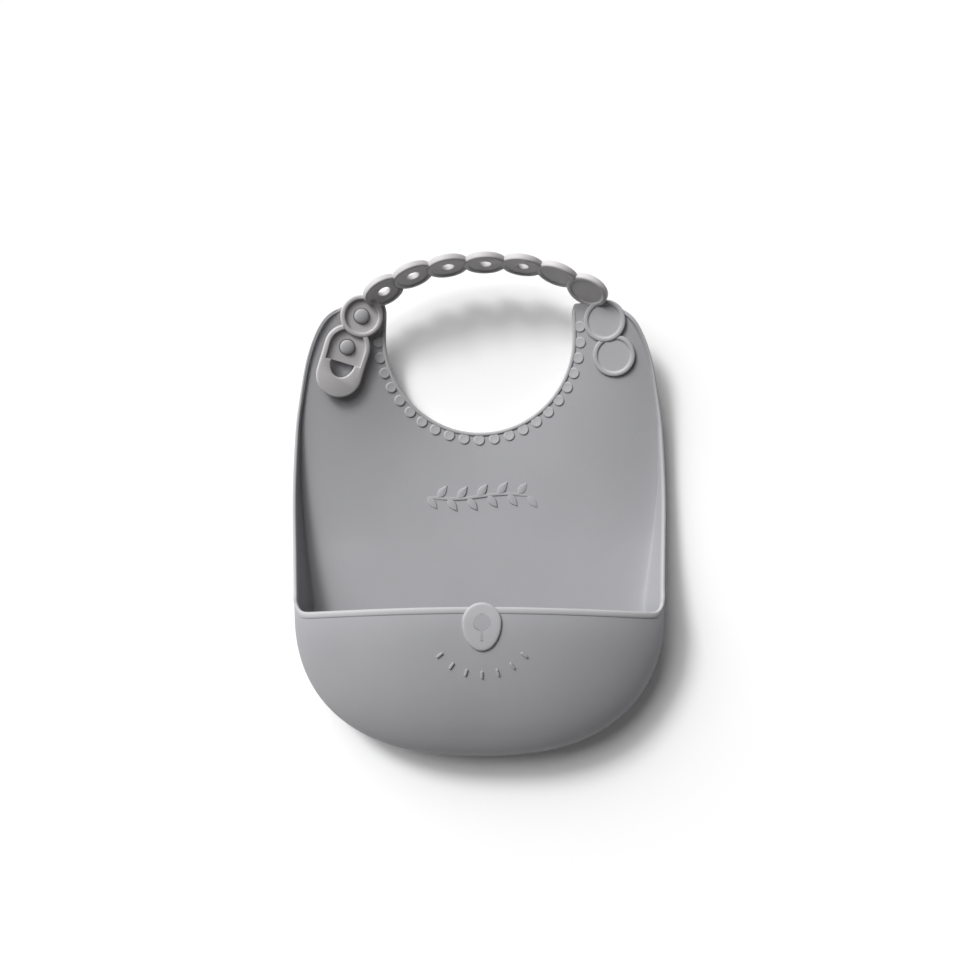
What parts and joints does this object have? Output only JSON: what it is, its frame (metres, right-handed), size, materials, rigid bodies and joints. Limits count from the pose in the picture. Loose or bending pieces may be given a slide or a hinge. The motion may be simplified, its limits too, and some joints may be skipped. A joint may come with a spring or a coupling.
{
  "type": "silicone bib",
  "caption": "Baby's silicone bib with a deep catch pocket, raised side walls, a dotted collar trim and a chain-like neck strap that closes with a tab over studs.",
  "frame": {"origin": "middle of the base of the bib's bounding box, the bib lying on its back", "axes": "+X to the right seen from the front, +Y towards the neck strap, +Z out of the front of the bib"},
  "size_m": [0.2352, 0.3096, 0.0563],
  "materials": {
    "silicone_body": "satin",
    "silicone_raised": "satin",
    "silicone_strap": "satin"
  },
  "bodies": {
    "bib": {"back_panel": "silicone_body", "right_side_wall": "silicone_body", "left_side_wall": "silicone_body", "right_side_rim": "silicone_raised", "left_side_rim": "silicone_raised", "catch_pocket": "silicone_body", "pocket_rim": "silicone_raised", "keyhole_badge": "silicone_raised", "collar_trim": "silicone_raised", "shoulder_disc_1": "silicone_raised", "shoulder_disc_2": "silicone_raised", "closure_stud_a": "silicone_raised", "closure_stud_b": "silicone_raised"},
    "strap": {"strap_link_1": "silicone_strap", "strap_link_2": "silicone_strap", "strap_link_3": "silicone_strap", "strap_link_4": "silicone_strap", "strap_link_5": "silicone_strap", "strap_link_6": "silicone_strap", "strap_link_7": "silicone_strap"},
    "end_link": {"end_link": "silicone_strap"},
    "closure_tab": {"closure_tab": "silicone_strap"}
  },
  "joints": [
    {"name": "strap_swing", "type": "hinge", "parent": "bib", "child": "strap", "pos_m": [0.0721, 0.12452, 0.0275], "axis": [0.8483, 0.5256, 0.0638], "range_deg": [0, 75], "stiffness_Nm_per_rad": 0.03},
    {"name": "end_link_peel", "type": "hinge", "parent": "strap", "child": "end_link", "pos_m": [-0.0658, 0.12602, 0.027], "axis": [-0.705, 0.6409, 0.3037], "range_deg": [0, 70], "stiffness_Nm_per_rad": 0.02},
    {"name": "tab_peel", "type": "hinge", "parent": "end_link", "child": "closure_tab", "pos_m": [-0.07735, 0.10882, 0.026], "axis": [-0.8622, 0.413, 0.2934], "range_deg": [0, 70], "stiffness_Nm_per_rad": 0.02}
  ]
}
